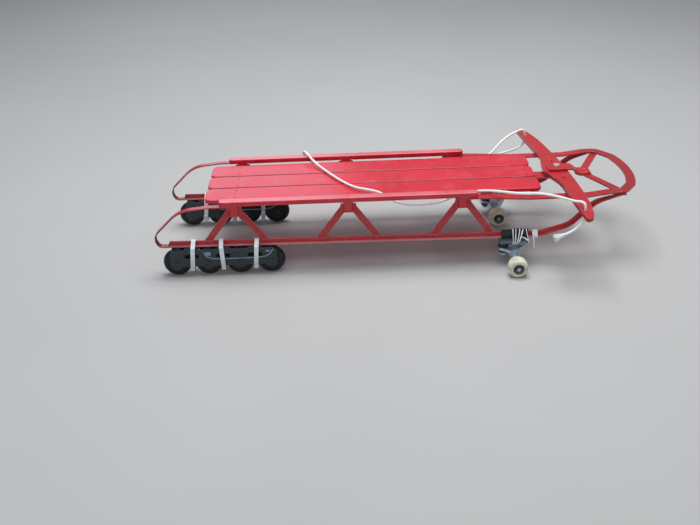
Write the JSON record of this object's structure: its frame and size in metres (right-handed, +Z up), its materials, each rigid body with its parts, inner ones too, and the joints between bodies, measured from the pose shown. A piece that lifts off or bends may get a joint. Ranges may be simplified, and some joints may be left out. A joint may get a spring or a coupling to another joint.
{
  "type": "steerable sled on wheels",
  "caption": "Red wooden-decked sled with steel runners and a steering bar, carried on inline skate frames at the rear and skateboard trucks at the front, with a tow rope.",
  "frame": {"origin": "on the ground under the middle of the sled", "axes": "+X forward, +Y to the sled's left, +Z up"},
  "size_m": [1.2392, 0.6029, 0.2115],
  "materials": {
    "red_wood": "worn gloss paint",
    "red_steel": "worn gloss paint",
    "bright_steel": "zinc plated",
    "black_frame": "satin",
    "black_tyre": "satin",
    "grey_hub": "satin",
    "white_strap": "smooth",
    "truck_metal": "cast, worn",
    "cushion_rubber": "matt",
    "cream_wheel": "worn, matt tread",
    "white_rope": "braided"
  },
  "bodies": {
    "frame": {"slat_left": "red_wood", "slat_middle": "red_wood", "slat_right": "red_wood", "rail_left": "red_wood", "rail_right": "red_wood", "rail_blocks": "red_wood", "benches": "red_wood", "knee_rear_left": "red_steel", "knee_rear_right": "red_steel", "knee_middle_left": "red_steel", "knee_middle_right": "red_steel", "knee_front_left": "red_steel", "knee_front_right": "red_steel", "runner_left": "red_steel", "runner_right": "red_steel", "bumper": "red_steel", "front_brace": "red_steel", "tongue_upper": "red_steel", "tongue_lower": "red_steel", "front_cleat": "red_steel", "pivot_bolt": "bright_steel", "skate_frame_left": "black_frame", "straps_left": "white_strap", "truck_base_left": "truck_metal", "truck_hanger_left": "truck_metal", "truck_cushions_left": "cushion_rubber", "truck_wires_left": "bright_steel", "skate_frame_right": "black_frame", "straps_right": "white_strap", "truck_base_right": "truck_metal", "truck_hanger_right": "truck_metal", "truck_cushions_right": "cushion_rubber", "truck_wires_right": "bright_steel", "rope": "white_rope"},
    "steering": {"steering_bar": "red_steel", "bar_rivets": "bright_steel", "rope_knot_left": "white_rope", "rope_tail_left": "white_rope", "rope_knot_right": "white_rope", "rope_tail_right": "white_rope"},
    "inline_wheel_left_1": {"inline_tyre_left_1": "black_tyre", "inline_hub_left_1": "grey_hub"},
    "inline_wheel_left_2": {"inline_tyre_left_2": "black_tyre", "inline_hub_left_2": "grey_hub"},
    "inline_wheel_left_3": {"inline_tyre_left_3": "black_tyre", "inline_hub_left_3": "grey_hub"},
    "inline_wheel_left_4": {"inline_tyre_left_4": "black_tyre", "inline_hub_left_4": "grey_hub"},
    "truck_wheel_outer_left_body": {"truck_wheel_outer_left": "cream_wheel"},
    "truck_wheel_inner_left_body": {"truck_wheel_inner_left": "cream_wheel"},
    "inline_wheel_right_1": {"inline_tyre_right_1": "black_tyre", "inline_hub_right_1": "grey_hub"},
    "inline_wheel_right_2": {"inline_tyre_right_2": "black_tyre", "inline_hub_right_2": "grey_hub"},
    "inline_wheel_right_3": {"inline_tyre_right_3": "black_tyre", "inline_hub_right_3": "grey_hub"},
    "inline_wheel_right_4": {"inline_tyre_right_4": "black_tyre", "inline_hub_right_4": "grey_hub"},
    "truck_wheel_outer_right_body": {"truck_wheel_outer_right": "cream_wheel"},
    "truck_wheel_inner_right_body": {"truck_wheel_inner_right": "cream_wheel"}
  },
  "joints": [
    {"name": "steering_pivot", "type": "hinge", "parent": "frame", "child": "steering", "pos_m": [0.424, 0, 0.19], "axis": [0, 0, 1], "range_deg": [-19.8, 10.2]},
    {"name": "inline_wheel_left_1_spin", "type": "hinge", "parent": "frame", "child": "inline_wheel_left_1", "pos_m": [-0.5705, 0.144, 0.036], "axis": [0, 1, 0], "continuous": true},
    {"name": "inline_wheel_left_2_spin", "type": "hinge", "parent": "frame", "child": "inline_wheel_left_2", "pos_m": [-0.4903, 0.144, 0.036], "axis": [0, 1, 0], "continuous": true},
    {"name": "inline_wheel_left_3_spin", "type": "hinge", "parent": "frame", "child": "inline_wheel_left_3", "pos_m": [-0.4101, 0.144, 0.036], "axis": [0, 1, 0], "continuous": true},
    {"name": "inline_wheel_left_4_spin", "type": "hinge", "parent": "frame", "child": "inline_wheel_left_4", "pos_m": [-0.3299, 0.144, 0.036], "axis": [0, 1, 0], "continuous": true},
    {"name": "truck_wheel_outer_left_spin", "type": "hinge", "parent": "frame", "child": "truck_wheel_outer_left_body", "pos_m": [0.29, 0.222, 0.0245], "axis": [0, 1, 0], "continuous": true},
    {"name": "truck_wheel_inner_left_spin", "type": "hinge", "parent": "frame", "child": "truck_wheel_inner_left_body", "pos_m": [0.29, 0.066, 0.0245], "axis": [0, 1, 0], "continuous": true},
    {"name": "inline_wheel_right_1_spin", "type": "hinge", "parent": "frame", "child": "inline_wheel_right_1", "pos_m": [-0.5705, -0.144, 0.036], "axis": [0, 1, 0], "continuous": true},
    {"name": "inline_wheel_right_2_spin", "type": "hinge", "parent": "frame", "child": "inline_wheel_right_2", "pos_m": [-0.4903, -0.144, 0.036], "axis": [0, 1, 0], "continuous": true},
    {"name": "inline_wheel_right_3_spin", "type": "hinge", "parent": "frame", "child": "inline_wheel_right_3", "pos_m": [-0.4101, -0.144, 0.036], "axis": [0, 1, 0], "continuous": true},
    {"name": "inline_wheel_right_4_spin", "type": "hinge", "parent": "frame", "child": "inline_wheel_right_4", "pos_m": [-0.3299, -0.144, 0.036], "axis": [0, 1, 0], "continuous": true},
    {"name": "truck_wheel_outer_right_spin", "type": "hinge", "parent": "frame", "child": "truck_wheel_outer_right_body", "pos_m": [0.29, -0.222, 0.0245], "axis": [0, 1, 0], "continuous": true},
    {"name": "truck_wheel_inner_right_spin", "type": "hinge", "parent": "frame", "child": "truck_wheel_inner_right_body", "pos_m": [0.29, -0.066, 0.0245], "axis": [0, 1, 0], "continuous": true}
  ]
}
